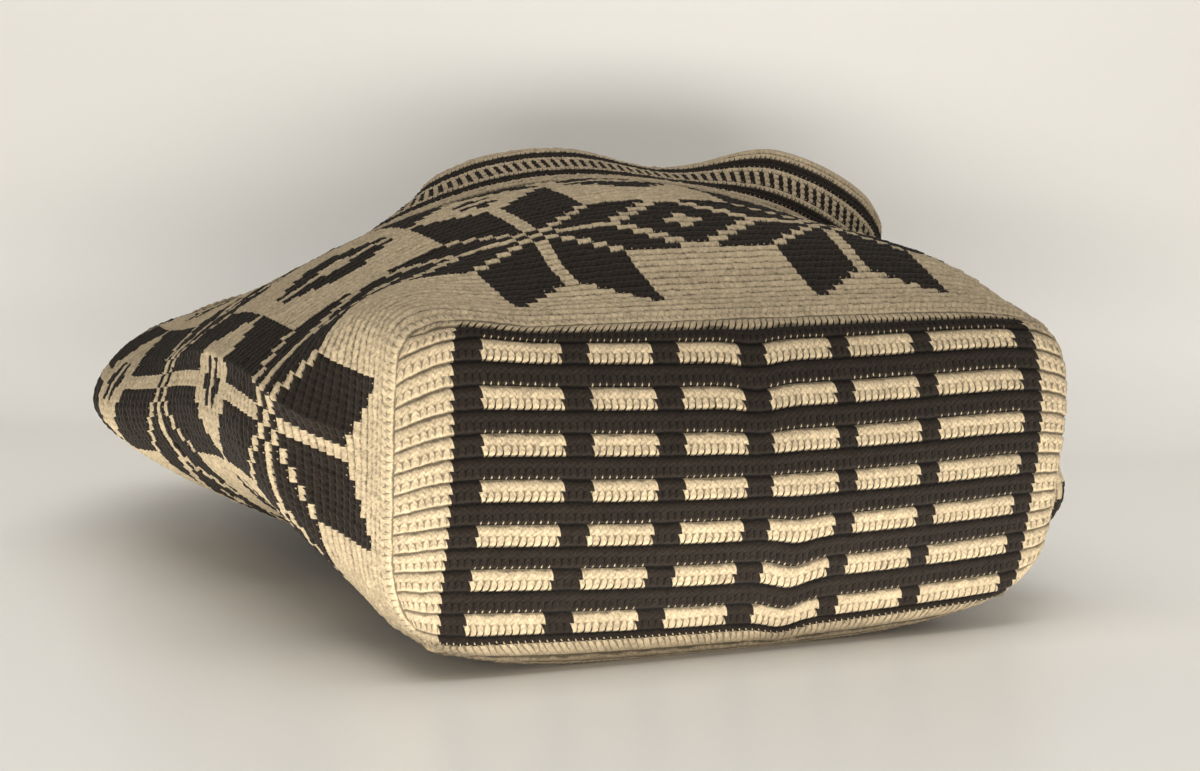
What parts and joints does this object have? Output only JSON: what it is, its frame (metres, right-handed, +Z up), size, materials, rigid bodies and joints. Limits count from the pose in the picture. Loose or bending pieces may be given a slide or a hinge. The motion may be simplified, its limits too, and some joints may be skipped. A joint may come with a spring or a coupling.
{
  "type": "crocheted tote bag",
  "caption": "Soft filled tote bag of patterned crochet lying on its back panel, with a rounded rectangular base, an open mouth and one crocheted shoulder strap.",
  "frame": {"origin": "on the floor, under the middle of the bag's box", "axes": "+X along the base from left to right, +Y from the base towards the mouth, +Z up"},
  "size_m": [0.365, 0.4648, 0.1719],
  "materials": {
    "body_crochet": "matte",
    "strap_crochet": "matte"
  },
  "bodies": {
    "root": {"bag_body": "body_crochet", "shoulder_strap": "strap_crochet"}
  },
  "joints": []
}
